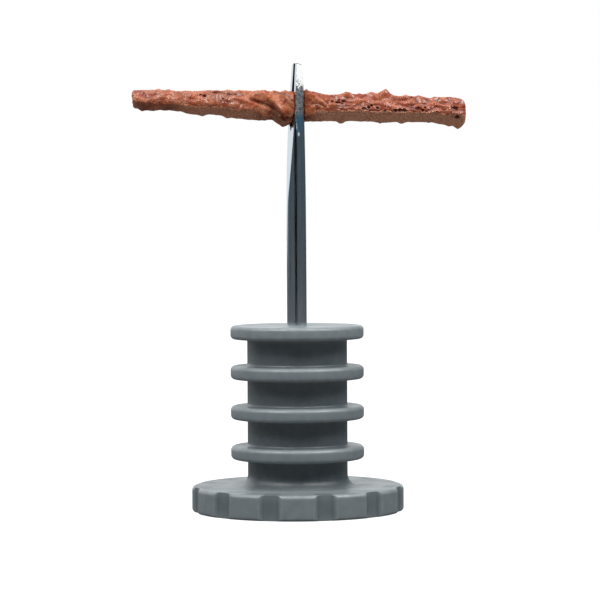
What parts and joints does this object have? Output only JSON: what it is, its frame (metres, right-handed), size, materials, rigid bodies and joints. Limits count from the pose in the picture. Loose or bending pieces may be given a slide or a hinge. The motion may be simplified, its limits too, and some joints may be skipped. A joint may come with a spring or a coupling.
{
  "type": "tyre plug insertion tool",
  "caption": "Ribbed round plug handle with a scalloped flange, a straight steel needle with a split eye, and a short strip of sticky rubber held across the eye.",
  "frame": {"origin": "centre of the flange's flat outer face, on the needle's axis; the tool stands on this face", "axes": "+Z along the needle to its tip, +X along the strip to its thicker right arm, +Y to the back"},
  "size_m": [0.0501, 0.0318, 0.0671],
  "materials": {
    "moulded_grey": "semi-matte moulded",
    "needle_steel": "bright plated, ground rough at the tip",
    "plug_rubber": "sticky, wet-looking, fibrous"
  },
  "bodies": {
    "tool": {"handle": "moulded_grey", "needle": "needle_steel"},
    "strip_core": {"strip_middle": "plug_rubber"},
    "strip_arm_left": {"strip_left": "plug_rubber"},
    "strip_arm_right": {"strip_right": "plug_rubber"}
  },
  "joints": [
    {"name": "strip_release", "type": "slide", "parent": "tool", "child": "strip_core", "axis": [0, 0, 1], "range_m": [0, 0.012]},
    {"name": "left_fold", "type": "hinge", "parent": "strip_core", "child": "strip_arm_left", "pos_m": [-0.0052, 0, 0.06072], "axis": [0, -1, 0], "range_deg": [0, 85], "stiffness_Nm_per_rad": 0.005},
    {"name": "right_fold", "type": "hinge", "parent": "strip_core", "child": "strip_arm_right", "pos_m": [0.0051, 0, 0.06029], "axis": [0, 1, 0], "range_deg": [0, 85], "stiffness_Nm_per_rad": 0.005}
  ]
}
